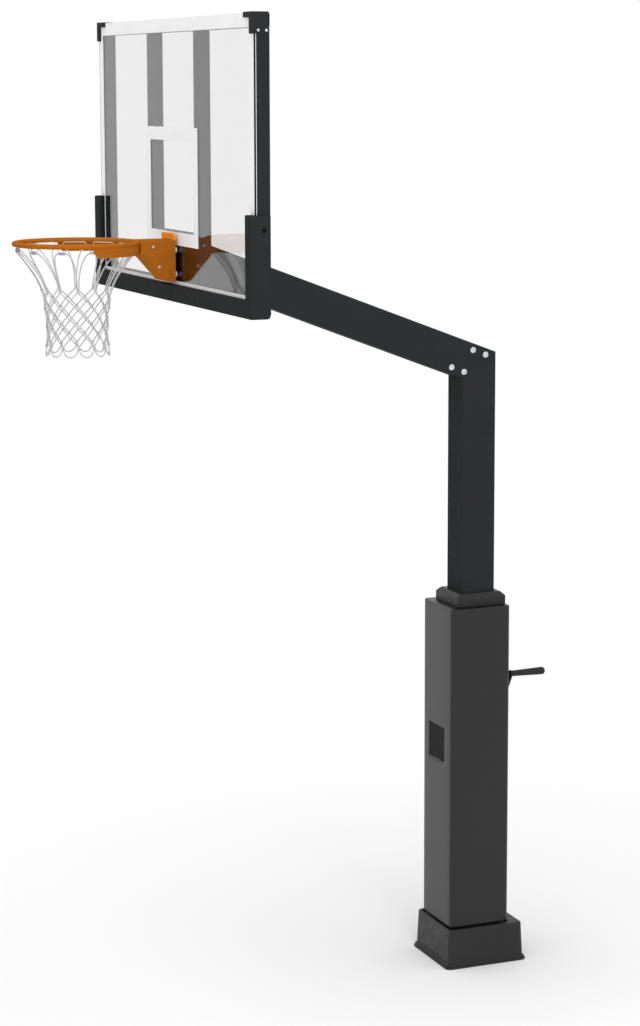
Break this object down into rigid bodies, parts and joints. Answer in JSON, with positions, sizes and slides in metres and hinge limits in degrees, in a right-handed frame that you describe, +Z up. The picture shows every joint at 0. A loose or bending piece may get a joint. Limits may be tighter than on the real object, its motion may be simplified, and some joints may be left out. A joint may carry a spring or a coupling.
{
  "type": "basketball stand",
  "caption": "Basketball stand: padded square post, crank-raised mast with a sloping arm, framed glass backboard and a sprung breakaway ring with its net.",
  "frame": {"origin": "middle of the base plate's underside, where it meets the ground", "axes": "+Z up, -Y towards the court and the ring, +X along the backboard"},
  "size_m": [1.878, 2.2276, 3.9034],
  "materials": {
    "black_steel": "satin",
    "pole_vinyl": "matte",
    "cover_plastic": "satin",
    "pad_foam": "matte",
    "orange_steel": "satin",
    "zinc_steel": "satin",
    "bare_steel": "satin",
    "bronze": "satin",
    "nylon": "satin",
    "rubber": "matte",
    "smoked_acrylic": "gloss",
    "glass": "polished",
    "cord": "matte"
  },
  "bodies": {
    "post": {"base_plate": "black_steel", "outer_pole": "black_steel", "base_cover": "cover_plastic", "pole_pad": "pole_vinyl", "height_window": "smoked_acrylic", "collar": "cover_plastic", "anchor_bolt_1": "zinc_steel", "anchor_bolt_2": "zinc_steel", "anchor_bolt_3": "zinc_steel", "anchor_bolt_4": "zinc_steel", "crank_bush": "bronze", "gear_bracket": "black_steel", "thrust_bearing": "bare_steel"},
    "crank": {"crank_shaft": "zinc_steel", "crank_gear": "bare_steel", "crank_arm": "black_steel"},
    "grip": {"crank_grip": "rubber"},
    "screw": {"lead_screw": "bare_steel", "screw_gear": "bare_steel"},
    "mast": {"inner_pole": "black_steel", "knee_stub": "black_steel", "screw_nut": "bronze", "lower_guide": "nylon", "arm": "black_steel", "arm_end_plate": "black_steel", "knee_bolt_1": "zinc_steel", "knee_bolt_2": "zinc_steel", "knee_bolt_3": "zinc_steel", "knee_bolt_4": "zinc_steel", "frame_left": "black_steel", "frame_right": "black_steel", "frame_top": "black_steel", "frame_bottom": "black_steel", "upright_left": "black_steel", "upright_right": "black_steel", "cross_tube": "black_steel", "ring_mount_plate": "black_steel", "glass_pane": "glass", "corner_bracket_left": "black_steel", "corner_bracket_right": "black_steel", "backboard_pad": "pad_foam", "ring_back_plate": "orange_steel", "ring_spacer_1": "nylon", "ring_spacer_2": "nylon", "ring_spacer_3": "nylon", "ring_spacer_4": "nylon", "ring_bolt_1": "zinc_steel", "ring_bolt_2": "zinc_steel", "ring_bolt_3": "zinc_steel", "ring_bolt_4": "zinc_steel", "spring_bolt_left": "zinc_steel", "spring_bolt_right": "zinc_steel"},
    "ring": {"rim": "orange_steel", "ring_bracket": "orange_steel", "hinge_pin": "zinc_steel", "spring_left": "zinc_steel", "spring_right": "zinc_steel", "net": "cord"}
  },
  "joints": [
    {"name": "mast_slide", "type": "slide", "parent": "post", "child": "mast", "axis": [0, 0, 1], "range_m": [-0.75, 0]},
    {"name": "crank_turn", "type": "hinge", "parent": "post", "child": "crank", "pos_m": [0, 0.142, 1.084], "axis": [0, 1, 0], "continuous": true},
    {"name": "grip_spin", "type": "hinge", "parent": "crank", "child": "grip", "pos_m": [0.08632, 0.15, 1.21693], "axis": [0, 1, 0], "continuous": true},
    {"name": "screw_turn", "type": "hinge", "parent": "post", "child": "screw", "pos_m": [0, 0, 1.084], "axis": [0, 0, 1], "continuous": true},
    {"name": "ring_tilt", "type": "hinge", "parent": "mast", "child": "ring", "pos_m": [0, -1.328, 2.917], "axis": [1, 0, 0], "range_deg": [0, 25], "stiffness_Nm_per_rad": 570, "springref_deg": -45.84, "deforming": ["spring_left", "spring_right"]}
  ],
  "couplings": [
    {"joint": "crank_turn", "follows": "mast_slide", "rad_per_m": -523.6},
    {"joint": "screw_turn", "follows": "mast_slide", "rad_per_m": -523.6}
  ]
}
